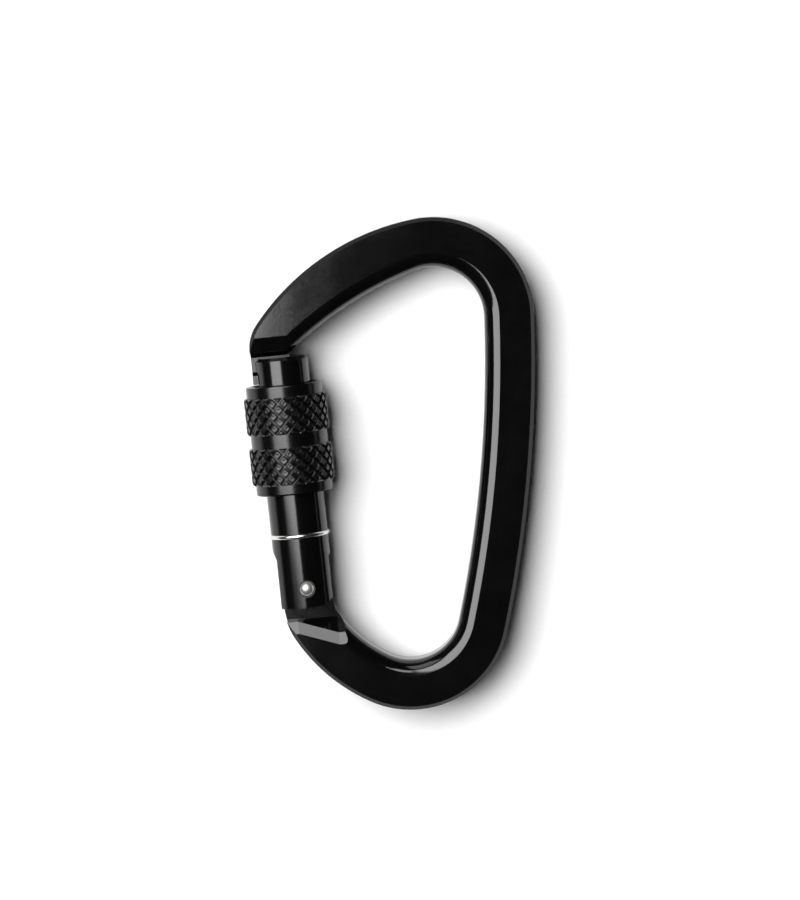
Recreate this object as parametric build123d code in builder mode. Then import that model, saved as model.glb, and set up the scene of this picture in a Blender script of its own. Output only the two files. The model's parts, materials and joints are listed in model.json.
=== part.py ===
from build123d import *

import os
from math import atan2, cos, degrees, hypot, radians, sin, sqrt

# Screw-locking D carabiner. Millimetres, +Z up.
# The D lies in the XY plane: +Y runs towards the nose, +X towards the spine.
# Z = 0 is the middle of the bar's thickness, and the origin is the centre of the bounding box.

# ---------------------------------------------------------------- driving dimensions
# Frame outline: four corner circles, joined by three tangent arcs and the straight gate side.
# A reach is how far a corner circle stands out from the centre line X = 0.
body_length = 80.0
crown_radius = 16.32
crown_reach = 23.465
heel_radius = 16.11
heel_reach = 19.615
nose_radius = 6.7
nose_reach = 22.525
nose_drop = 21.1
hinge_radius = 11.3
hinge_reach = 17.125
hinge_rise = 17.9
bow_arc_radius = 39.84
spine_arc_radius = 216.7
foot_arc_radius = 28.72

# Forged bar.
bar_width = 8.05
nose_bar_width = 7.1
inner_bow_radius = 60.0
inner_bow_overrun = 3.5
bar_thickness = 8.0
outer_edge_bevel = 0.6
inner_edge_round = 2.4

# Gate. Insets are measured from the straight gate side of the frame's outline.
rivet_inset = 4.15
rivet_rise = 19.9
axis_tail_inset = 3.75
axis_tip_inset = 4.8
gate_diameter = 9.3
gate_tip_step = 0.3
gate_tip_length = 5.2
gate_tip_bevel = 0.5
gate_tip_gap = 1.0
gate_tail = 3.1
tail_corner_round = 2.6
tail_flat_inset = 0.6
tail_flat_top = 4.9
tail_flat_run = 1.9

# Hinge end of the frame.
tongue_thickness = 2.8
tongue_side_gap = 0.15
hinge_shoulder = 5.2
hinge_step_run = 0.1
hinge_step_reach = 1.6
hinge_ramp_run = 2.5
hinge_ramp_reach = 4.8
hinge_slope_run = 1.9
hinge_slope_drop = 0.5
cove_hollow = 0.35
cam_radius = 2.9
cam_lift = 1.6
cam_overrun = 10.0
cam_spans = 5
gate_opening = 45.0
slot_floor_gap = 0.4

# Nose end of the frame: a head on a narrower neck, caught by a slot of the same form.
nose_shoulder_drop = 0.35
nose_cove_run = 0.75
nose_slope_run = 2.5
nose_slope_drop = 0.55
neck_thickness = 1.9
head_thickness = 3.2
head_length = 2.1
head_bevel = 0.6
head_inner_reach = 1.5
head_end_gap = 0.3
head_swing_gap = 0.1
latch_side_gap = 0.25
latch_end_gap = 0.6
latch_lip_gap = 0.25

# Hinge rivet.
rivet_diameter = 2.0
rivet_head_diameter = 2.8
rivet_head_depth = 0.8
rivet_head_sunk = 0.12
rivet_rim_width = 0.2
rivet_moat_depth = 0.3
rivet_dome_diameter = 2.1
rivet_dome_proud = 0.22
rivet_clearance = 0.05

# Retaining ring.
ring_wire = 0.72
ring_proud = 0.31
ring_station = 8.6
ring_gap_angle = 20.0

# Lock sleeve. Its heights are over the rims, and its lengths run up from its lower end.
sleeve_drop = 4.45
sleeve_wall = 1.475
knurl_height = 0.525
groove_height = 0.025
lower_rim = 1.7
knurl_band = 6.0
sleeve_groove = 2.2
upper_rim = 1.85
sleeve_fit = 0.1
sleeve_edge = 0.25
nose_socket_gap = 0.2
nose_socket_depth = 5.6

# Screw thread, drawn as V grooves at the thread's pitch.
thread_pitch = 1.25
thread_depth = 0.45
gate_thread_lead = 5.1
gate_thread_length = 11.5
sleeve_thread_start = 3.2
sleeve_thread_length = 8.0

# Closing spring and its plunger, inside the gate.
spring_bore_diameter = 3.0
spring_length = 10.0
spring_outer_diameter = 2.6
spring_wire = 0.4
spring_coils = 9
plunger_pin_diameter = 1.4
plunger_pin_length = 3.4
plunger_collar_length = 1.2
plunger_fit = 0.05
plunger_guide_diameter = 1.3
plunger_guide_length = 3.0
plunger_tip_gap = 0.15

# ---------------------------------------------------------------- derived places
half_length = body_length / 2
half_thickness = bar_thickness / 2
gate_radius = gate_diameter / 2

crown_center = Vector(crown_reach - crown_radius, half_length - crown_radius)
heel_center = Vector(heel_reach - heel_radius, heel_radius - half_length)
nose_center = Vector(nose_radius - nose_reach, half_length - nose_drop)
hinge_center = Vector(hinge_radius - hinge_reach, hinge_rise - half_length)


def join_center(center_a, radius_a, center_b, radius_b, join_radius):
    """Centre of the arc that holds both circles inside it and touches each."""
    reach_a = join_radius - radius_a
    reach_b = join_radius - radius_b
    span = center_b - center_a
    along = (reach_a**2 - reach_b**2 + span.length**2) / (2 * span.length)
    across = sqrt(reach_a**2 - along**2)
    direction = span.normalized()
    return center_a + direction * along + Vector(direction.Y, -direction.X) * across


def unit_between(start, end):
    """Unit vector from start towards end."""
    return (end - start).normalized()


def corner_arc(center, radius, toward_start, toward_end):
    """Arc of a circle that runs clockwise between two directions from its centre."""
    start_angle = degrees(atan2(toward_start.Y, toward_start.X))
    end_angle = degrees(atan2(toward_end.Y, toward_end.X))
    sweep = (start_angle - end_angle) % 360
    CenterArc(center, radius, start_angle, -sweep)


bow_center = join_center(nose_center, nose_radius, crown_center, crown_radius, bow_arc_radius)
spine_center = join_center(crown_center, crown_radius, heel_center, heel_radius, spine_arc_radius)
foot_center = join_center(heel_center, heel_radius, hinge_center, hinge_radius, foot_arc_radius)
inner_bow_center = join_center(
    nose_center,
    nose_radius - nose_bar_width,
    crown_center,
    crown_radius - bar_width,
    inner_bow_radius,
)

# The gate side is the straight line that touches the hinge circle and the nose circle.
side_span = nose_center - hinge_center
side_turn = (hinge_radius - nose_radius) / side_span.length
side_left = Vector(-side_span.Y, side_span.X).normalized()
side_normal = side_left * sqrt(1 - side_turn**2) + side_span.normalized() * side_turn
side_direction = Vector(side_normal.Y, -side_normal.X)
hinge_tangent = hinge_center + side_normal * hinge_radius
nose_tangent = nose_center + side_normal * nose_radius


def spine_and_foot(inset, bow_middle):
    """Arcs of the D from the crown round to the hinge corner, an inset inside its outer edge."""
    corner_arc(
        crown_center, crown_radius - inset, crown_center - bow_middle, crown_center - spine_center
    )
    corner_arc(
        spine_center,
        spine_arc_radius - inset,
        crown_center - spine_center,
        heel_center - spine_center,
    )
    corner_arc(
        heel_center, heel_radius - inset, heel_center - spine_center, heel_center - foot_center
    )
    corner_arc(
        foot_center, foot_arc_radius - inset, heel_center - foot_center, hinge_center - foot_center
    )
    corner_arc(hinge_center, hinge_radius - inset, hinge_center - foot_center, side_normal)


def outer_outline():
    """Closed clockwise outline of the whole D."""
    nose_turn = nose_center - bow_center
    Line(hinge_tangent, nose_tangent)
    corner_arc(nose_center, nose_radius, side_normal, nose_turn)
    corner_arc(bow_center, bow_arc_radius, nose_turn, crown_center - bow_center)
    spine_and_foot(0, bow_center)


def inner_outline():
    """Closed clockwise outline of the space in the D, whose bow runs on past the nose."""
    throat_turn = (nose_center - inner_bow_center).rotate(Axis.Z, inner_bow_overrun)
    hinge_start = hinge_center + side_normal * (hinge_radius - bar_width)
    throat = inner_bow_center + throat_turn.normalized() * inner_bow_radius
    Line(hinge_start, throat)
    corner_arc(
        inner_bow_center, inner_bow_radius, throat_turn, crown_center - inner_bow_center
    )
    spine_and_foot(bar_width, inner_bow_center)


# The rivet stands at its rise above the lowest point, inside the gate side by its inset.
side_run = (rivet_rise - half_length - hinge_tangent.Y + side_normal.Y * rivet_inset) / side_direction.Y
rivet_side_point = hinge_tangent + side_direction * side_run
rivet_center = rivet_side_point - side_normal * rivet_inset

# The gate's axis runs from its inset beside the rivet to its inset beside the nose.
axis_tail = rivet_side_point - side_normal * axis_tail_inset
axis_tip = nose_tangent - side_normal * axis_tip_inset
gate_direction = unit_between(axis_tail, axis_tip)
gate_inward = Vector(gate_direction.Y, -gate_direction.X)
axis_foot = axis_tail + gate_direction * (rivet_center - axis_tail).dot(gate_direction)

# Gate planes: x runs inwards to the spine and y along the gate, from the rivet's station.
gate_plane = Plane(axis_foot, x_dir=gate_inward, z_dir=(0, 0, 1))
rivet_plane = Plane(rivet_center, x_dir=gate_inward, z_dir=(0, 0, 1))
gate_axis = Axis(axis_foot, gate_direction)
bore_axis = Axis(rivet_center, gate_direction)
# Side plane: x runs along the gate, y is +Z, and the normal points inwards.
side_plane = Plane(axis_foot, x_dir=gate_direction, z_dir=gate_inward)


def cross_plane(origin, station):
    """Plane square to the gate at a station along it, facing the nose."""
    return Plane(origin + gate_direction * station, x_dir=gate_inward, z_dir=gate_direction)


# Stations along the gate, from the rivet towards the nose.
nose_shoulder = (nose_center - axis_foot).dot(gate_direction) - nose_shoulder_drop
gate_tip = nose_shoulder - gate_tip_gap
sleeve_length = lower_rim + 2 * knurl_band + sleeve_groove + upper_rim
sleeve_top = gate_tip - sleeve_drop
sleeve_station = sleeve_top - sleeve_length
head_end = sleeve_top + head_end_gap
head_top = head_end + head_length
slot_floor = cam_radius + cam_lift + slot_floor_gap
plunger_tip = cam_radius + plunger_tip_gap
collar_station = plunger_tip + plunger_pin_length
spring_station = collar_station + plunger_collar_length
spring_end = spring_station + spring_length
bore_radius = gate_radius + sleeve_fit
rim_radius = bore_radius + sleeve_wall
head_outer_radius = hypot(axis_tip_inset, head_thickness / 2)
reach_past = bar_width + gate_diameter

# ---------------------------------------------------------------- body
with BuildSketch() as inner_space:
    with BuildLine():
        inner_outline()
    make_face()

# Part of the bar that is thinned to a tongue beside the rivet.
with BuildSketch(gate_plane) as tongue_band:
    with Locations((0, -(hinge_shoulder + hinge_step_run) / 2)):
        Rectangle(2 * reach_past, hinge_shoulder + hinge_step_run)


def cam_point(turn):
    """Point of the cam, whose radius grows evenly as the gate turns inwards."""
    radius = cam_radius + cam_lift * turn / gate_opening
    return (radius * sin(radians(turn)), radius * cos(radians(turn)))


def add_ramp(shoulder, run, side, thin):
    """Profile, in the side plane, of a straight ramp up to a gentler slope at the flat face."""
    foot = (shoulder, side * thin)
    crest = shoulder - run - hinge_slope_run
    Polyline(
        foot,
        (shoulder - run, side * (half_thickness - hinge_slope_drop)),
        (crest, side * half_thickness),
        (crest, side * bar_thickness),
        (shoulder, side * bar_thickness),
        foot,
    )


def add_cove(shoulder, step, side, thin):
    """Hollow slope, in the side plane, from a thinned end up to the bar's flat face."""
    low = (shoulder + step, side * thin)
    high = (shoulder, side * half_thickness)
    chord = hypot(step, half_thickness - thin)
    hollow_x = -(half_thickness - thin) * cove_hollow / chord * (1 if step > 0 else -1)
    hollow_y = -abs(step) * cove_hollow / chord * side
    middle = ((low[0] + high[0]) / 2 + hollow_x, (low[1] + high[1]) / 2 + hollow_y)
    ThreePointArc(low, middle, high)
    Polyline(high, (shoulder, side * bar_thickness), (shoulder + step, side * bar_thickness), low)


inner_face = inner_space.sketch.faces()[0]


def on_inner_outline(edge):
    """True for an edge of a flat face that follows the inner outline of the D."""
    middle = edge @ 0.5
    return abs(inner_face.distance_to(middle) - half_thickness) < 0.001


with BuildPart() as body:
    with BuildSketch():
        with BuildLine():
            outer_outline()
        make_face()
    extrude(amount=half_thickness, both=True)
    chamfer(body.faces().filter_by(Axis.Z).edges(), outer_edge_bevel)
    with BuildSketch():
        add(inner_space.sketch)
    extrude(amount=half_thickness, both=True, mode=Mode.SUBTRACT)
    # Gap that the gate closes.
    gap_bottom = -hinge_shoulder
    gap_top = nose_shoulder - nose_cove_run
    with BuildSketch(gate_plane):
        with Locations((0, (gap_bottom + gap_top) / 2)):
            Rectangle(2 * reach_past, gap_top - gap_bottom)
    extrude(amount=half_thickness, both=True, mode=Mode.SUBTRACT)
    inner_edges = body.faces().filter_by(Axis.Z).edges().filter_by(on_inner_outline)
    fillet(inner_edges, inner_edge_round)
    # Slopes that thin the nose, and hollow slopes down to its neck.
    with BuildSketch(side_plane):
        for side in (1, -1):
            with BuildLine():
                Polyline(
                    (nose_shoulder + nose_slope_run, side * half_thickness),
                    (nose_shoulder, side * (half_thickness - nose_slope_drop)),
                    (nose_shoulder, side * bar_thickness),
                    (nose_shoulder + nose_slope_run, side * bar_thickness),
                    close=True,
                )
            make_face()
            with BuildLine():
                add_cove(nose_shoulder, -nose_cove_run, side, neck_thickness / 2)
            make_face()
    extrude(amount=reach_past, both=True, mode=Mode.SUBTRACT)
    # Twisted ramps up from the hinge tongue: a step on the gate side, shallower further in.
    ramp_sections = [
        (-reach_past, hinge_step_run),
        (-hinge_step_reach, hinge_step_run),
        (hinge_ramp_reach, hinge_ramp_run),
        (reach_past, hinge_ramp_run),
    ]
    for side in (1, -1):
        for reach, run in ramp_sections:
            with BuildSketch(side_plane.offset(reach)):
                with BuildLine():
                    add_ramp(-hinge_shoulder, run, side, tongue_thickness / 2)
                make_face()
        loft(ruled=True, mode=Mode.SUBTRACT)
    # Hinge tongue with its cam.
    with BuildSketch():
        with BuildLine():
            outer_outline()
        make_face()
        add(inner_space.sketch, mode=Mode.SUBTRACT)
        add(tongue_band.sketch, mode=Mode.INTERSECT)
    extrude(amount=tongue_thickness / 2, both=True)
    with BuildSketch(rivet_plane):
        with BuildLine():
            cam_start = -cam_overrun
            cam_end = gate_opening + cam_overrun
            cam_step = (cam_end - cam_start) / cam_spans
            Spline([cam_point(cam_start + cam_step * span) for span in range(cam_spans + 1)])
            Polyline(
                cam_point(cam_end),
                (bar_width - rivet_inset, 0),
                (bar_width - rivet_inset, -rivet_diameter),
                (-rivet_inset + tongue_side_gap, -rivet_diameter),
                (-rivet_inset + tongue_side_gap, 0),
                cam_point(cam_start),
            )
        make_face()
    extrude(amount=tongue_thickness / 2, both=True)
    with BuildSketch(rivet_plane):
        Circle(rivet_diameter / 2 + rivet_clearance)
    extrude(amount=bar_thickness, both=True, mode=Mode.SUBTRACT)
    # Nose neck and head.
    with BuildSketch(side_plane.offset(-axis_tip_inset)):
        with Locations(((head_end + nose_shoulder) / 2, 0)):
            Rectangle(nose_shoulder - head_end, neck_thickness)
        with Locations((head_end + head_length / 2, 0)):
            head = Rectangle(head_length, head_thickness)
        chamfer(head.vertices(), head_bevel)
    extrude(amount=axis_tip_inset + head_inner_reach)
    # Underside of the head, hollowed round the rivet so that the sleeve's top edge swings past it.
    with BuildSketch(rivet_plane):
        Circle(hypot(sleeve_top, rim_radius) + head_swing_gap)
        with Locations((0, head_end)):
            Rectangle(reach_past, 2 * head_length, mode=Mode.INTERSECT)
    extrude(amount=bar_thickness, both=True, mode=Mode.SUBTRACT)

# ---------------------------------------------------------------- gate
gate_thread_start = sleeve_station + gate_thread_lead
thread_turns = range(int(gate_thread_length / thread_pitch))
sleeve_turns = range(int(sleeve_thread_length / thread_pitch))


def thread_groove(radius, station, depth):
    """V groove in the gate plane, with its point a depth away from a radius."""
    half_pitch = thread_pitch / 2
    Polyline(
        (radius, station),
        (radius + depth, station + half_pitch),
        (radius, station + thread_pitch),
        close=True,
    )


with BuildPart() as gate:
    # Turned bar with a smaller, bevelled tip.
    tip_radius = gate_radius - gate_tip_step
    with BuildSketch(gate_plane):
        with BuildLine():
            Polyline(
                (0, -gate_tail),
                (gate_radius, -gate_tail),
                (gate_radius, gate_tip - gate_tip_length),
                (tip_radius, gate_tip - gate_tip_length + gate_radius - tip_radius),
                (tip_radius, gate_tip - gate_tip_bevel),
                (tip_radius - gate_tip_bevel, gate_tip),
                (0, gate_tip),
                close=True,
            )
        make_face()
    revolve(axis=gate_axis)
    # Tail: flat on the outer side, and a round corner that clears the frame as it turns.
    past = gate_radius + tongue_side_gap
    flat_side = tail_flat_inset - gate_radius
    with BuildSketch(gate_plane):
        with BuildLine():
            Polyline(
                (flat_side, -gate_tail),
                (flat_side, tail_flat_top),
                (-past, tail_flat_top + tail_flat_run),
                (-past, gate_tip + gate_tail),
                (past, gate_tip + gate_tail),
                (past, tail_corner_round - gate_tail),
            )
            RadiusArc(
                (past, tail_corner_round - gate_tail),
                (past - tail_corner_round, -gate_tail),
                tail_corner_round,
            )
            Line((past - tail_corner_round, -gate_tail), (flat_side, -gate_tail))
        make_face()
    extrude(amount=gate_diameter, both=True, mode=Mode.INTERSECT)
    # Slot for the hinge tongue.
    with BuildSketch(side_plane):
        with Locations(((slot_floor - gate_diameter) / 2, 0)):
            Rectangle(slot_floor + gate_diameter, tongue_thickness + 2 * tongue_side_gap)
    extrude(amount=gate_diameter, both=True, mode=Mode.SUBTRACT)
    # Latch slot for the nose: wide for the head, narrow above it for the neck.
    with BuildSketch(side_plane.offset(head_inner_reach + latch_side_gap)):
        with Locations(((head_end - latch_end_gap + head_top + latch_lip_gap) / 2, 0)):
            Rectangle(
                head_length + latch_end_gap + latch_lip_gap, head_thickness + 2 * latch_side_gap
            )
        with Locations((head_top, 0)):
            Rectangle(
                2 * (nose_shoulder - head_top),
                neck_thickness + 2 * latch_side_gap,
                align=(Align.MIN, Align.CENTER),
            )
    extrude(amount=-2 * gate_diameter, mode=Mode.SUBTRACT)
    # Bore for the closing spring.
    with BuildSketch(cross_plane(rivet_center, 0)):
        Circle(spring_bore_diameter / 2)
    extrude(amount=spring_end, mode=Mode.SUBTRACT)
    # Groove for the retaining ring.
    ring_center_radius = gate_radius + ring_proud - ring_wire / 2
    with BuildSketch(gate_plane):
        with Locations((ring_center_radius, ring_station)):
            Circle(ring_wire / 2)
    revolve(axis=gate_axis, mode=Mode.SUBTRACT)
    # External thread.
    with BuildSketch(gate_plane):
        for turn in thread_turns:
            with BuildLine():
                thread_groove(gate_radius, gate_thread_start + turn * thread_pitch, -thread_depth)
            make_face()
    revolve(axis=gate_axis, mode=Mode.SUBTRACT)
    # Rivet holes with a countersink in each cheek.
    with BuildSketch(rivet_plane):
        Circle(rivet_diameter / 2)
    extrude(amount=gate_diameter, both=True, mode=Mode.SUBTRACT)
    head_base = gate_radius - rivet_head_depth
    head_flare = (rivet_head_diameter - rivet_diameter) / 2
    with BuildSketch(Plane(rivet_center, x_dir=gate_inward, z_dir=gate_direction * -1)):
        for side in (1, -1):
            with BuildLine():
                Polyline(
                    (0, side * head_base),
                    (rivet_diameter / 2, side * head_base),
                    (rivet_head_diameter / 2, side * (head_base + head_flare)),
                    (rivet_head_diameter / 2, side * gate_diameter),
                    (0, side * gate_diameter),
                    close=True,
                )
            make_face()
    revolve(axis=Axis(rivet_center, (0, 0, 1)), mode=Mode.SUBTRACT)

# ---------------------------------------------------------------- hinge rivet
with BuildPart() as hinge_rivet:
    head_top_height = gate_radius - rivet_head_sunk
    rim_inner = rivet_head_diameter / 2 - rivet_rim_width
    moat_height = head_top_height - rivet_moat_depth
    dome_radius = rivet_dome_diameter / 2
    dome_top = gate_radius + rivet_dome_proud
    dome_height = dome_top - moat_height
    dome_sphere = (dome_radius**2 + dome_height**2) / (2 * dome_height)
    dome_start = degrees(atan2(dome_sphere - dome_height, dome_radius))
    with BuildSketch(Plane(rivet_center, x_dir=gate_inward, z_dir=gate_direction * -1)):
        with BuildLine():
            Line((0, 0), (rivet_diameter / 2, 0))
            Polyline(
                (rivet_diameter / 2, 0),
                (rivet_diameter / 2, head_base),
                (rivet_head_diameter / 2, head_base + head_flare),
                (rivet_head_diameter / 2, head_top_height),
                (rim_inner, head_top_height),
                (dome_radius, moat_height),
            )
            CenterArc((0, dome_top - dome_sphere), dome_sphere, dome_start, 90 - dome_start)
            Line((0, dome_top), (0, 0))
        make_face()
    revolve(axis=Axis(rivet_center, (0, 0, 1)))
    mirror(about=Plane.XY)

# ---------------------------------------------------------------- retaining ring
with BuildPart() as retaining_ring:
    ring_origin = axis_foot + gate_direction * ring_station
    with BuildSketch(Plane(ring_origin, x_dir=(0, 0, -1), z_dir=gate_inward)):
        with Locations((ring_center_radius, 0)):
            Circle(ring_wire / 2)
    revolve(axis=gate_axis, revolution_arc=360 - ring_gap_angle)

# ---------------------------------------------------------------- lock sleeve
with BuildPart() as lock_sleeve:
    knurl_radius = rim_radius + knurl_height
    groove_radius = rim_radius + groove_height
    socket_radius = max(bore_radius + sleeve_edge, head_outer_radius + nose_socket_gap)
    band_start = sleeve_station + lower_rim
    groove_start = band_start + knurl_band
    upper_band_start = groove_start + sleeve_groove
    upper_rim_start = upper_band_start + knurl_band
    with BuildSketch(gate_plane):
        with BuildLine():
            Polyline(
                (bore_radius, sleeve_station + sleeve_edge),
                (bore_radius + sleeve_edge, sleeve_station),
                (rim_radius - sleeve_edge, sleeve_station),
                (rim_radius, sleeve_station + sleeve_edge),
                (rim_radius, band_start),
                (knurl_radius - sleeve_edge, band_start),
                (knurl_radius, band_start + sleeve_edge),
                (knurl_radius, groove_start - sleeve_edge),
                (knurl_radius - sleeve_edge, groove_start),
                (groove_radius, groove_start),
                (groove_radius, upper_band_start),
                (knurl_radius - sleeve_edge, upper_band_start),
                (knurl_radius, upper_band_start + sleeve_edge),
                (knurl_radius, upper_rim_start - sleeve_edge),
                (knurl_radius - sleeve_edge, upper_rim_start),
                (rim_radius, upper_rim_start),
                (rim_radius, sleeve_top - sleeve_edge),
                (rim_radius - sleeve_edge, sleeve_top),
                (socket_radius + sleeve_edge, sleeve_top),
                (socket_radius, sleeve_top - sleeve_edge),
                (socket_radius, sleeve_top - nose_socket_depth),
                (bore_radius, sleeve_top - nose_socket_depth),
                close=True,
            )
        make_face()
    revolve(axis=gate_axis)
    # Internal thread.
    with BuildSketch(gate_plane):
        for turn in sleeve_turns:
            with BuildLine():
                station = sleeve_station + sleeve_thread_start + turn * thread_pitch
                thread_groove(bore_radius, station, thread_depth)
            make_face()
    revolve(axis=gate_axis, mode=Mode.SUBTRACT)

# ---------------------------------------------------------------- closing spring
with BuildPart() as gate_spring:
    coil_radius = (spring_outer_diameter - spring_wire) / 2
    coil_height = spring_length - spring_wire
    with BuildLine():
        coil = Helix(
            pitch=coil_height / spring_coils,
            height=coil_height,
            radius=coil_radius,
            center=rivet_center + gate_direction * (spring_station + spring_wire / 2),
            direction=gate_direction,
        )
    with BuildSketch(Plane(coil @ 0, z_dir=coil % 0)):
        Circle(spring_wire / 2)
    sweep(is_frenet=True)

# ---------------------------------------------------------------- spring plunger
with BuildPart() as spring_plunger:
    pin_radius = plunger_pin_diameter / 2
    collar_radius = spring_bore_diameter / 2 - plunger_fit
    guide_radius = plunger_guide_diameter / 2
    guide_end = spring_station + plunger_guide_length
    with BuildSketch(rivet_plane):
        with BuildLine():
            CenterArc((0, plunger_tip + pin_radius), pin_radius, -90, 90)
            Polyline(
                (pin_radius, plunger_tip + pin_radius),
                (pin_radius, collar_station),
                (collar_radius, collar_station),
                (collar_radius, spring_station),
                (guide_radius, spring_station),
                (guide_radius, guide_end),
                (0, guide_end),
                (0, plunger_tip),
            )
        make_face()
    revolve(axis=bore_axis)

# ---------------------------------------------------------------- output
pieces = {
    "body": body,
    "gate": gate,
    "hinge_rivet": hinge_rivet,
    "retaining_ring": retaining_ring,
    "lock_sleeve": lock_sleeve,
    "gate_spring": gate_spring,
    "spring_plunger": spring_plunger,
}
os.makedirs("parts", exist_ok=True)
for name, piece in pieces.items():
    piece.part.label = name
    export_step(piece.part, f"parts/{name}.step")
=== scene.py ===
import json
from math import cos, floor, pi, radians, sin, tan

import bmesh
import bpy
from mathutils import Matrix, Vector


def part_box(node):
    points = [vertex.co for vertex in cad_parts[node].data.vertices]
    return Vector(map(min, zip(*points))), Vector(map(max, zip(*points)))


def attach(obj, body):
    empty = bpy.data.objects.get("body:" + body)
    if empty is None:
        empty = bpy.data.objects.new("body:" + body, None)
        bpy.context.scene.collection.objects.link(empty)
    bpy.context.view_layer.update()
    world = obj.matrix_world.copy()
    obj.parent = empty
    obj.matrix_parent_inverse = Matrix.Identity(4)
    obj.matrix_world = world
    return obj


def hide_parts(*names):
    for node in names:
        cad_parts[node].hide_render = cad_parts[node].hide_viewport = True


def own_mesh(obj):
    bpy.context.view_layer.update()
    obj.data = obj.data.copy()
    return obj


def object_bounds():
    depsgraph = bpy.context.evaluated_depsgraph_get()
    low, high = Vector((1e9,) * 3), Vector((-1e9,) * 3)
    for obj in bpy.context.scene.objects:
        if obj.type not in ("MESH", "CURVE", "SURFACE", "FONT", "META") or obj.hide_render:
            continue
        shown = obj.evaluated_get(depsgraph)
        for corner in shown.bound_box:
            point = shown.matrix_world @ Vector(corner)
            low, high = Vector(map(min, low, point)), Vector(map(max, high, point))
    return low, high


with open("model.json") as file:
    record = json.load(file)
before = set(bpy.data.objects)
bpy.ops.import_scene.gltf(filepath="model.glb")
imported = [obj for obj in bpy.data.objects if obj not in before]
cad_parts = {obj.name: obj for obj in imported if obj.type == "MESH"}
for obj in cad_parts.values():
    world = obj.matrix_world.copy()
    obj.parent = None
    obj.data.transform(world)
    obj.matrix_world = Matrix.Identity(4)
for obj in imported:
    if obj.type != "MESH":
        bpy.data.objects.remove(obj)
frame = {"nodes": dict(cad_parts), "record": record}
cad_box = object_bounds()

MM = 0.001
nodes = frame["nodes"]
joints = {joint["name"]: joint for joint in frame["record"]["behaviour"]["joints"]}
pivot = Vector(joints["gate_pivot"]["pos_m"])
along = Vector(joints["sleeve_travel"]["axis"]).normalized()
up = Vector((0, 0, 1))
inward = along.cross(up).normalized()
sleeve_low, sleeve_high = (Vector(corner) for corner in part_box("lock_sleeve"))
sleeve_middle = (sleeve_low + sleeve_high) / 2


# ---------------------------------------------------------------- material helpers
def new_material(name, metallic, specular):
    """A Principled material; returns its node tree and its shader node."""
    made = bpy.data.materials.new(name)
    made.use_nodes = True
    tree = made.node_tree
    shader = tree.nodes["Principled BSDF"]
    shader.inputs["Metallic"].default_value = metallic
    shader.inputs["Specular IOR Level"].default_value = specular
    return made, tree, shader


def add(tree, kind, links=(), **values):
    """A node of this kind, with plain values on its sockets and links into them."""
    node = tree.nodes.new(kind)
    for key, value in values.items():
        if hasattr(node, key):
            setattr(node, key, value)
        else:
            node.inputs[key.replace("_", " ")].default_value = value
    for socket, source in dict(links).items():
        tree.links.new(source, node.inputs[socket])
    return node


def position(tree):
    """Place in the frame's own axes: no node's mesh is moved, so object coordinates are the frame's."""
    return add(tree, "ShaderNodeTexCoord").outputs["Object"]


def noise(tree, size, detail=2.0, roughness=0.5, vector=None):
    """Noise with grains of this size in metres."""
    source = vector or position(tree)
    return add(
        tree,
        "ShaderNodeTexNoise",
        {"Vector": source},
        Scale=1 / size,
        Detail=detail,
        Roughness=roughness,
    ).outputs["Fac"]


def spread(tree, source, low, high, new_low, new_high):
    """Maps a value from one range to another, held at its ends."""
    return add(
        tree,
        "ShaderNodeMapRange",
        {"Value": source},
        From_Min=low,
        From_Max=high,
        To_Min=new_low,
        To_Max=new_high,
    ).outputs["Result"]


def sum_of(tree, *sources):
    total = sources[0]
    for source in sources[1:]:
        total = add(tree, "ShaderNodeMath", {0: total, 1: source}, operation="ADD").outputs[0]
    return total


def product(tree, a, b):
    return add(tree, "ShaderNodeMath", {0: a, 1: b}, operation="MULTIPLY").outputs[0]


def tint(tree, factor, low, high):
    """Mixes two colours by a factor. A colour is three numbers or another node's output."""
    node = add(tree, "ShaderNodeMix", data_type="RGBA")
    tree.links.new(factor, node.inputs["Factor"])
    for socket, colour in ((6, low), (7, high)):
        if isinstance(colour, tuple):
            node.inputs[socket].default_value = (*colour, 1)
        else:
            tree.links.new(colour, node.inputs[socket])
    return node.outputs[2]


def bump(tree, height, distance, strength, under=None):
    links = {"Height": height}
    if under is not None:
        links["Normal"] = under
    return add(tree, "ShaderNodeBump", links, Distance=distance, Strength=strength).outputs["Normal"]


def edge_mask(tree, radius):
    """1 on sharp edges and 0 on open faces."""
    rounded = add(tree, "ShaderNodeBevel", samples=6, Radius=radius).outputs["Normal"]
    plain = add(tree, "ShaderNodeNewGeometry").outputs["Normal"]
    near = add(tree, "ShaderNodeVectorMath", {0: rounded, 1: plain}, operation="DOT_PRODUCT")
    return spread(tree, near.outputs["Value"], 0.995, 0.9, 0, 1)


def axial(tree, direction):
    """How far along a direction a point lies."""
    node = add(tree, "ShaderNodeVectorMath", {0: position(tree)}, operation="DOT_PRODUCT")
    node.inputs[1].default_value = direction
    return node.outputs["Value"]


def axis_distance(tree, centre, direction):
    """Distance from the line that runs through a centre along a direction."""
    offset = add(tree, "ShaderNodeVectorMath", {0: position(tree)}, operation="SUBTRACT")
    offset.inputs[1].default_value = centre
    across = add(tree, "ShaderNodeVectorMath", {0: offset.outputs[0]}, operation="CROSS_PRODUCT")
    across.inputs[1].default_value = direction
    return add(tree, "ShaderNodeVectorMath", {0: across.outputs[0]}, operation="LENGTH").outputs["Value"]


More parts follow.
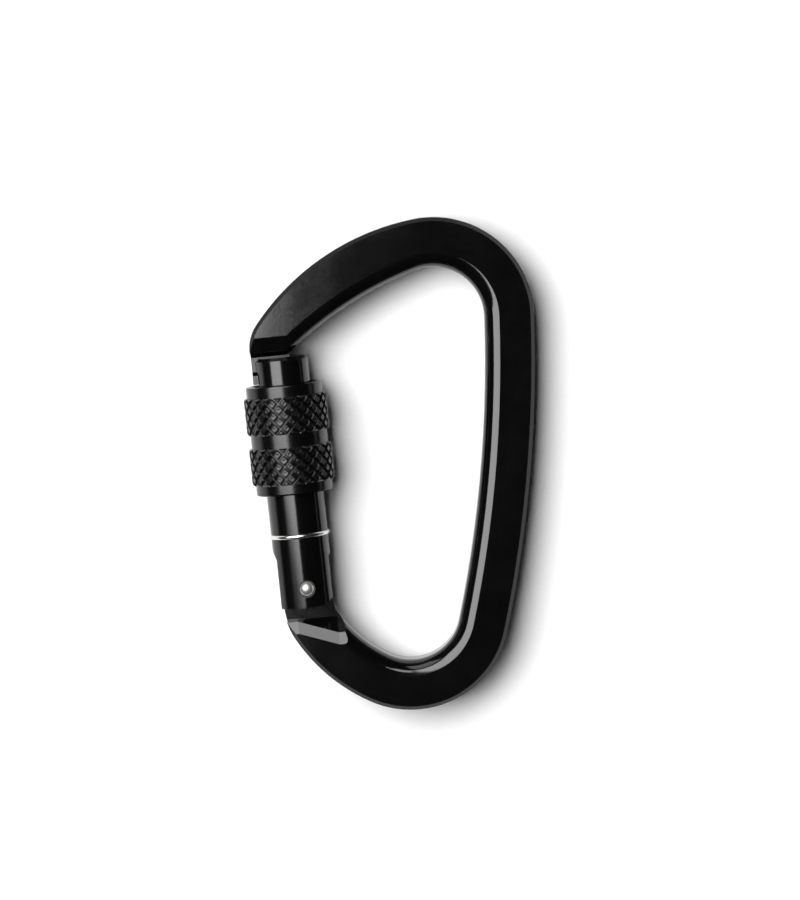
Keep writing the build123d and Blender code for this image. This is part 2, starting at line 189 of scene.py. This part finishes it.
def turning_marks(tree, direction, size):
    """Fine rings left by a lathe along an axis, as a value that varies only along it."""
    scaled = add(tree, "ShaderNodeMath", {0: axial(tree, direction)}, operation="MULTIPLY")
    scaled.inputs[1].default_value = 1 / size
    return add(
        tree,
        "ShaderNodeTexNoise",
        {"W": scaled.outputs[0]},
        noise_dimensions="1D",
        Scale=1.0,
        Detail=3.0,
    ).outputs["Fac"]


def worn_edges(tree, radius, size, detail, low, high, least):
    """Wear on sharp edges, broken up by noise with grains of this size."""
    patches = spread(tree, noise(tree, size, detail), low, high, least, 1)
    return product(tree, edge_mask(tree, radius), patches)


def object_from(mesh, name):
    """Ends a mesh and puts it in the scene as an object of that name."""
    data = bpy.data.meshes.new(name)
    mesh.to_mesh(data)
    mesh.free()
    obj = bpy.data.objects.new(name, data)
    bpy.context.scene.collection.objects.link(obj)
    return obj


def use(node_name, made):
    """Gives a CAD node this material on every slot."""
    obj = nodes[node_name]
    for place in range(max(1, len(obj.material_slots))):
        if place >= len(obj.material_slots):
            obj.data.materials.append(made)
        obj.material_slots[place].material = made


# ---------------------------------------------------------------- materials
BLACK = (0.0018, 0.0018, 0.0019)
BLACK_WORN = (0.0040, 0.0040, 0.0042)
RUBBED = (0.016, 0.016, 0.0165)
KNURL_RUBBED = (0.008, 0.008, 0.0084)
SILVER = (0.78, 0.77, 0.75)
SILVER_DULL = (0.66, 0.65, 0.63)
WIRE = (0.50, 0.49, 0.47)
WIRE_DULL = (0.40, 0.39, 0.37)
PIN = (0.56, 0.55, 0.54)
PIN_DULL = (0.46, 0.45, 0.44)
CARD = (0.91, 0.91, 0.91)
CARD_PALE = (0.94, 0.94, 0.94)
BLACK_GLOSS = 0.42
RIVET_DOME_RADIUS = 1.06


def blasted_black():
    """Black anodising over bead-blasted forged metal."""
    made, tree, shader = new_material("blasted_black_anodising", 0.0, BLACK_GLOSS)
    grain = noise(tree, 0.26 * MM, 3.0, 0.6)
    cloud = noise(tree, 6 * MM, 4.0, 0.6)
    edges = worn_edges(tree, 0.22 * MM, 1.1 * MM, 4.0, 0.38, 0.66, 0.1)
    colour = tint(tree, spread(tree, cloud, 0.3, 0.7, 0, 0.35), BLACK, BLACK_WORN)
    tree.links.new(tint(tree, edges, colour, RUBBED), shader.inputs["Base Color"])
    rough = sum_of(
        tree, spread(tree, grain, 0.3, 0.7, 0.06, 0.10), spread(tree, cloud, 0.3, 0.7, -0.01, 0.015)
    )
    tree.links.new(rough, shader.inputs["Roughness"])
    dimples = bump(tree, grain, 0.02 * MM, 0.08)
    waves = bump(tree, noise(tree, 2.4 * MM, 2.0), 0.05 * MM, 0.05, dimples)
    tree.links.new(waves, shader.inputs["Normal"])
    return made


def turned_black(name, size, rough_low, rough_high, depth):
    """Black anodising over turned metal, with rings round the gate's axis."""
    made, tree, shader = new_material(name, 0.0, BLACK_GLOSS)
    rings = turning_marks(tree, along, size)
    grain = noise(tree, 0.14 * MM, 3.0, 0.6)
    edges = worn_edges(tree, 0.15 * MM, 0.8 * MM, 3.0, 0.4, 0.65, 0)
    colour = tint(tree, spread(tree, rings, 0.35, 0.65, 0, 0.3), BLACK, BLACK_WORN)
    tree.links.new(tint(tree, edges, colour, RUBBED), shader.inputs["Base Color"])
    tree.links.new(spread(tree, rings, 0.3, 0.7, rough_low, rough_high), shader.inputs["Roughness"])
    grooves = bump(tree, rings, 0.01 * MM, depth)
    tree.links.new(bump(tree, grain, 0.01 * MM, 0.12, grooves), shader.inputs["Normal"])
    return made


def knurled_black():
    """Black anodising on the sleeve: satin rims, and knurl pads rubbed lighter on top."""
    made, tree, shader = new_material("knurled_black_anodising", 0.0, BLACK_GLOSS)
    rings = turning_marks(tree, along, 0.09 * MM)
    grain = noise(tree, 0.16 * MM, 3.0, 0.6)
    radius = axis_distance(tree, sleeve_middle, along)
    tops = product(
        tree,
        spread(tree, radius, (KNURL_RADIUS - 0.09) * MM, (KNURL_RADIUS - 0.02) * MM, 0, 1),
        spread(tree, noise(tree, 0.7 * MM, 3.0), 0.32, 0.68, 0.15, 1),
    )
    edges = worn_edges(tree, 0.10 * MM, 0.6 * MM, 3.0, 0.38, 0.62, 0.1)
    most = add(tree, "ShaderNodeMath", {0: tops, 1: edges}, operation="MAXIMUM").outputs[0]
    colour = tint(tree, most, BLACK, KNURL_RUBBED)
    tree.links.new(colour, shader.inputs["Base Color"])
    rough = sum_of(tree, spread(tree, rings, 0.3, 0.7, 0.17, 0.24), spread(tree, tops, 0, 1, 0, 0.05))
    tree.links.new(rough, shader.inputs["Roughness"])
    grooves = bump(tree, rings, 0.01 * MM, 0.10)
    tree.links.new(bump(tree, grain, 0.012 * MM, 0.2, grooves), shader.inputs["Normal"])
    return made


def steel(name, colour, dull, rough_low, rough_high, bright_radius=None):
    """Bright steel with fine drawn scratches and faint handling marks.

    With a bright radius, the metal further than that from the gate's pivot line is blackened.
    """
    made, tree, shader = new_material(name, 1.0, 0.5)
    stretched = add(tree, "ShaderNodeMapping", {"Vector": position(tree)})
    stretched.inputs["Scale"].default_value = (1.0, 7.0, 1.0)
    scratches = noise(tree, 0.12 * MM, 4.0, 0.7, stretched.outputs[0])
    smudges = noise(tree, 0.9 * MM, 3.0)
    metal = tint(tree, spread(tree, smudges, 0.3, 0.7, 0, 1), colour, dull)
    if bright_radius is not None:
        radius = axis_distance(tree, pivot, up)
        ragged = sum_of(tree, radius, spread(tree, smudges, 0.3, 0.7, -0.02 * MM, 0.02 * MM))
        bright = spread(tree, ragged, bright_radius, bright_radius + 0.05 * MM, 1, 0)
        metal = tint(tree, bright, BLACK_WORN, metal)
        tree.links.new(bright, shader.inputs["Metallic"])
    tree.links.new(metal, shader.inputs["Base Color"])
    rough = sum_of(
        tree,
        spread(tree, scratches, 0.3, 0.7, rough_low, rough_high),
        spread(tree, smudges, 0.3, 0.7, -0.02, 0.03),
    )
    tree.links.new(rough, shader.inputs["Roughness"])
    tree.links.new(bump(tree, scratches, 0.006 * MM, 0.15), shader.inputs["Normal"])
    return made


def pale_paper():
    """The table: matt white card."""
    made, tree, shader = new_material("pale_card", 0.0, 0.2)
    fibres = noise(tree, 0.5 * MM, 4.0, 0.7)
    colour = tint(tree, spread(tree, fibres, 0.3, 0.7, 0, 1), CARD, CARD_PALE)
    tree.links.new(colour, shader.inputs["Base Color"])
    shader.inputs["Roughness"].default_value = 0.9
    tree.links.new(bump(tree, fibres, 0.02 * MM, 0.1), shader.inputs["Normal"])
    return made


# ---------------------------------------------------------------- lock sleeve
# Sizes in millimetres; heights run up the sleeve from its lower end.
BORE_RADIUS = 4.75
SOCKET_RADIUS = 5.26
SOCKET_DEPTH = 5.6
RIM_RADIUS = 6.225
GROOVE_RADIUS = 6.25
KNURL_RADIUS = 6.75
LOWER_RIM = 1.7
KNURL_BAND = 6.0
GROOVE_BAND = 2.2
UPPER_RIM = 1.85
EDGE = 0.25
EDGE_END = 1.2 * EDGE
EDGE_SHARES = (0.5, 1.0)
KNURL_STARTS = 21
KNURL_DEPTH = 0.34
KNURL_HALF_WIDTH = 0.31
KNURL_FLAT = 0.09
PAD_RIM = 0.42
PAD_HOLLOW = 0.045
CELLS = 24
THREAD_PITCH = 1.25
THREAD_DEPTH = 0.45
THREAD_START = 3.2
THREAD_TURNS = 6
THREAD_HALF_ANGLE = 30
CREASE_ANGLE = 28

columns = KNURL_STARTS * CELLS
axial_pitch = 2 * pi * KNURL_RADIUS / KNURL_STARTS
square_pitch = axial_pitch / 2**0.5


def uneven(i, j, salt):
    """A repeatable number from 0 to 1 for one knurl pad."""
    mixed = sin(i * 12.9898 + j * 78.233 + salt * 37.719) * 43758.5453
    return mixed - floor(mixed)


def knurl_radius(turn, height):
    """Outer radius of the knurl at a share of a turn and a height up its band."""
    a = KNURL_STARTS * turn + height / axial_pitch
    b = KNURL_STARTS * turn - height / axial_pitch
    off_a = abs(a - round(a)) * square_pitch
    off_b = abs(b - round(b)) * square_pitch
    near = min(off_a, off_b)
    if near < KNURL_HALF_WIDTH:
        fall = (KNURL_HALF_WIDTH - max(near, KNURL_FLAT)) / (KNURL_HALF_WIDTH - KNURL_FLAT)
        return KNURL_RADIUS - KNURL_DEPTH * fall
    half_pad = square_pitch / 2 - KNURL_HALF_WIDTH
    inset = min(1.0, max(0.0, ((near - KNURL_HALF_WIDTH) / half_pad - PAD_RIM) / (1 - PAD_RIM)))
    pad = (floor(a) % KNURL_STARTS, floor(b) % KNURL_STARTS)
    hollow = PAD_HOLLOW * (0.6 + 0.8 * uneven(*pad, 1))
    return KNURL_RADIUS - 0.012 * uneven(*pad, 2) - hollow * inset * inset * (3 - 2 * inset)


def ring_row(height, radius):
    return [(height, radius)] * columns


def knurl_rows(start):
    """Rows of one knurled band, with its ends bevelled down."""
    rows = round(KNURL_BAND / axial_pitch * CELLS)
    made = []
    for row in range(rows + 1):
        height = KNURL_BAND * row / rows
        cap = KNURL_RADIUS - EDGE + min(EDGE, height, KNURL_BAND - height)
        radii = [min(cap, knurl_radius(c / columns, height)) for c in range(columns)]
        made.append([(start + height, radius) for radius in radii])
    return made


def sleeve_rows():
    """The sleeve's closed profile, one row of points round the axis for each corner."""
    groove_start = LOWER_RIM + KNURL_BAND
    upper_start = groove_start + GROOVE_BAND
    rim_start = upper_start + KNURL_BAND
    top = rim_start + UPPER_RIM
    rows = [ring_row(EDGE, BORE_RADIUS), ring_row(0, BORE_RADIUS + EDGE)]
    rows.append(ring_row(0, RIM_RADIUS - EDGE))
    for share in EDGE_SHARES:
        turn = share * pi / 2
        rows.append(ring_row(EDGE * (1 - cos(turn)), RIM_RADIUS - EDGE * (1 - sin(turn))))
    rows += [ring_row(EDGE_END, RIM_RADIUS), ring_row(LOWER_RIM, RIM_RADIUS)]
    rows += knurl_rows(LOWER_RIM)
    rows += [ring_row(groove_start, GROOVE_RADIUS), ring_row(upper_start, GROOVE_RADIUS)]
    rows += knurl_rows(upper_start)
    rows += [ring_row(height, RIM_RADIUS) for height in (rim_start, top - EDGE_END, top - EDGE)]
    for share in EDGE_SHARES:
        turn = share * pi / 2
        rows.append(ring_row(top - EDGE * (1 - sin(turn)), RIM_RADIUS - EDGE * (1 - cos(turn))))
    rows += [ring_row(top, SOCKET_RADIUS + EDGE), ring_row(top - EDGE, SOCKET_RADIUS)]
    rows += [ring_row(top - SOCKET_DEPTH, SOCKET_RADIUS), ring_row(top - SOCKET_DEPTH, BORE_RADIUS)]
    flank = THREAD_DEPTH * tan(radians(THREAD_HALF_ANGLE))
    for turn in reversed(range(THREAD_TURNS)):
        height = THREAD_START + turn * THREAD_PITCH
        rows.append(ring_row(height + flank, BORE_RADIUS))
        rows.append(ring_row(height, BORE_RADIUS + THREAD_DEPTH))
        rows.append(ring_row(height - flank, BORE_RADIUS))
    return rows, top


def build_sleeve():
    rows, top = sleeve_rows()
    origin = sleeve_middle - along * (top * MM / 2)
    mesh = bmesh.new()
    turns = [2 * pi * c / columns for c in range(columns)]
    around = [up * cos(turn) + inward * sin(turn) for turn in turns]
    grid = [
        [
            mesh.verts.new(origin + along * (height * MM) + outward * (radius * MM))
            for outward, (height, radius) in zip(around, row)
        ]
        for row in rows
    ]
    for row, below in enumerate(grid):
        above = grid[(row + 1) % len(grid)]
        for c in range(columns):
            d = (c + 1) % columns
            mesh.faces.new((below[c], below[d], above[d], above[c]))
    bmesh.ops.recalc_face_normals(mesh, faces=mesh.faces)
    for face in mesh.faces:
        face.smooth = True
    for edge in mesh.edges:
        edge.smooth = edge.calc_face_angle(0) < radians(CREASE_ANGLE)
    return object_from(mesh, "knurled_sleeve")


sleeve = build_sleeve()
sleeve.data.materials.append(knurled_black())
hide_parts("lock_sleeve")
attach(sleeve, "sleeve")

# ---------------------------------------------------------------- closing spring
# Sizes in millimetres. In the real clip the spring shortens by the plunger's stroke as the gate opens;
# this coil is built at one length.
COIL_RADIUS = 1.1
WIRE_RADIUS = 0.2
SPRING_LENGTH = 10.0
COIL_TURNS = 9
STEPS_PER_TURN = 24
WIRE_SIDES = 10


def build_spring():
    """A wire swept along a helix round the spring's bore, between its two ends."""
    low, high = (Vector(corner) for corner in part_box("gate_spring"))
    middle = pivot + along * ((low + high) / 2 - pivot).dot(along)
    steps = COIL_TURNS * STEPS_PER_TURN
    coil_height = SPRING_LENGTH - 2 * WIRE_RADIUS
    rings = []
    mesh = bmesh.new()
    for step in range(steps + 1):
        turn = 2 * pi * step / STEPS_PER_TURN
        outward = inward * cos(turn) + up * sin(turn)
        centre = middle + outward * (COIL_RADIUS * MM)
        centre += along * (coil_height * (step / steps - 0.5) * MM)
        ring = []
        for side in range(WIRE_SIDES):
            angle = 2 * pi * side / WIRE_SIDES
            reach = outward * cos(angle) + along * sin(angle)
            ring.append(mesh.verts.new(centre + reach * (WIRE_RADIUS * MM)))
        rings.append(ring)
    for ring, following in zip(rings, rings[1:]):
        for side in range(WIRE_SIDES):
            after = (side + 1) % WIRE_SIDES
            mesh.faces.new((ring[side], ring[after], following[after], following[side]))
    mesh.faces.new(rings[0])
    mesh.faces.new(reversed(rings[-1]))
    bmesh.ops.recalc_face_normals(mesh, faces=mesh.faces)
    for face in mesh.faces:
        face.smooth = len(face.verts) == 4
    return object_from(mesh, "closing_coil"), middle + along * (SPRING_LENGTH / 2 * MM)


coil, coil_seat = build_spring()
coil.data.materials.append(steel("spring_wire_steel", WIRE, WIRE_DULL, 0.22, 0.36))
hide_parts("gate_spring")
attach(coil, "gate")
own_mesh(coil)

# ---------------------------------------------------------------- finishes of the carried-over parts
use("body", blasted_black())
use("gate", turned_black("turned_black_anodising", 0.11 * MM, 0.10, 0.18, 0.06))
rivet_finish = steel("rivet_steel_marks", SILVER, SILVER_DULL, 0.42, 0.54, RIVET_DOME_RADIUS * MM)
use("hinge_rivet", rivet_finish)
use("retaining_ring", steel("polished_steel_marks", SILVER, SILVER_DULL, 0.12, 0.26))
use("spring_plunger", steel("plunger_steel", PIN, PIN_DULL, 0.20, 0.34))


# ---------------------------------------------------------------- table
# Sizes in metres, and the greatest lean in degrees.
TABLE_HALF = 2.5
TABLE_CELLS = 10
TABLE_GAP = 0.02 * MM
MOST_LEAN = 12
LEAN_TRIES = 30


def points_of(node_name):
    obj = nodes[node_name]
    return [obj.matrix_world @ vertex.co for vertex in obj.data.vertices]


def leaning(angle):
    """Normal of a table that rises towards the spine by an angle."""
    return Vector((-sin(angle), 0, cos(angle)))


def lowest(points, normal):
    return min(point.dot(normal) for point in points)


def resting_lean():
    """Lean at which the table carries both the sleeve and the spine."""
    body_points = points_of("body")
    sleeve_points = points_of("lock_sleeve")
    low, high = 0.0, radians(MOST_LEAN)
    for _ in range(LEAN_TRIES):
        middle = (low + high) / 2
        if lowest(sleeve_points, leaning(middle)) < lowest(body_points, leaning(middle)):
            low = middle
        else:
            high = middle
    return (low + high) / 2, sleeve_points


def build_table():
    lean, rest_points = resting_lean()
    normal = leaning(lean)
    level = lowest(rest_points, normal) - TABLE_GAP
    side = Vector((cos(lean), 0, sin(lean)))
    back = Vector((0, 1, 0))
    mesh = bmesh.new()
    stations = [TABLE_HALF * (2 * i / TABLE_CELLS - 1) for i in range(TABLE_CELLS + 1)]
    grid = [[mesh.verts.new(normal * level + side * x + back * y) for x in stations] for y in stations]
    for j in range(TABLE_CELLS):
        for i in range(TABLE_CELLS):
            mesh.faces.new((grid[j][i], grid[j][i + 1], grid[j + 1][i + 1], grid[j + 1][i]))
    obj = object_from(mesh, "table")
    obj.data.materials.append(pale_paper())
    return obj


build_table()


# ---------------------------------------------------------------- light
DARK_ROOM = (0.012, 0.012, 0.012)
LOW_GLOW = (0.80, 0.80, 0.80)
GLOW_HEIGHT = 0.06


def softbox(name, place, aim, width, height, radiance):
    """A flat rectangular studio light of even radiance."""
    data = bpy.data.lights.new(name, "AREA")
    data.shape = "RECTANGLE"
    data.size = width
    data.size_y = height
    data.energy = radiance * pi * width * height
    obj = bpy.data.objects.new(name, data)
    facing = (Vector(place) - Vector(aim)).normalized()
    right = Vector((0, 1, 0)).cross(facing).normalized()
    turned = Matrix((right, facing.cross(right), facing)).transposed().to_4x4()
    turned.translation = place
    obj.matrix_world = turned
    bpy.context.scene.collection.objects.link(obj)
    return obj


# The key light's right-hand edge falls on the flats of the bow. The two cards light the gloss only:
# one the knurl, and one the slope below the hinge.
softbox("key_softbox", (-0.485, 0.30, 1.032), (-0.025, 0.30, 0), 0.91, 0.95, 8.6)
for card in (
    softbox("top_card", (-0.30, 1.02, 0.62), (-0.02, 0.0, 0.0), 0.70, 0.60, 2.5),
    softbox("slope_card", (0.09, 0.44, 1.0), (-0.01, -0.02, 0.0), 0.22, 0.30, 6.5),
):
    card.visible_diffuse = False

world = bpy.data.worlds.new("studio")
world.use_nodes = True
bpy.context.scene.world = world
sky = world.node_tree
direction = add(sky, "ShaderNodeTexCoord").outputs["Generated"]
height = add(sky, "ShaderNodeSeparateXYZ", {"Vector": direction}).outputs["Z"]
glow = spread(sky, height, 0.0, GLOW_HEIGHT, 1, 0)
sky.links.new(tint(sky, glow, DARK_ROOM, LOW_GLOW), sky.nodes["Background"].inputs["Color"])

# ---------------------------------------------------------------- camera
AIM_RIGHT = 1.81 * MM
AIM_UP = 2.13 * MM
CAMERA_TILT = 4.5
CAMERA_DISTANCE = 0.565
VIEW_ANGLE = 14.77
SENSOR_HEIGHT = 24

centre = sum((Vector(corner) for corner in cad_box), Vector()) / 2
aim = Vector((centre.x + AIM_RIGHT, centre.y + AIM_UP, 0))
tilt = radians(CAMERA_TILT)
back = Vector((0, sin(tilt), cos(tilt)))
lens_data = bpy.data.cameras.new("photo_view")
lens_data.sensor_fit = "VERTICAL"
lens_data.sensor_height = SENSOR_HEIGHT
lens_data.lens = SENSOR_HEIGHT / 2 / tan(radians(VIEW_ANGLE) / 2)
lens_data.clip_start = 0.01
camera = bpy.data.objects.new("photo_view", lens_data)
side = Vector((1, 0, 0))
placed = Matrix((side, back.cross(side), back)).transposed().to_4x4()
placed.translation = aim + back * CAMERA_DISTANCE
camera.matrix_world = placed
bpy.context.scene.collection.objects.link(camera)
bpy.context.scene.camera = camera
bpy.context.scene.view_settings.view_transform = "Standard"
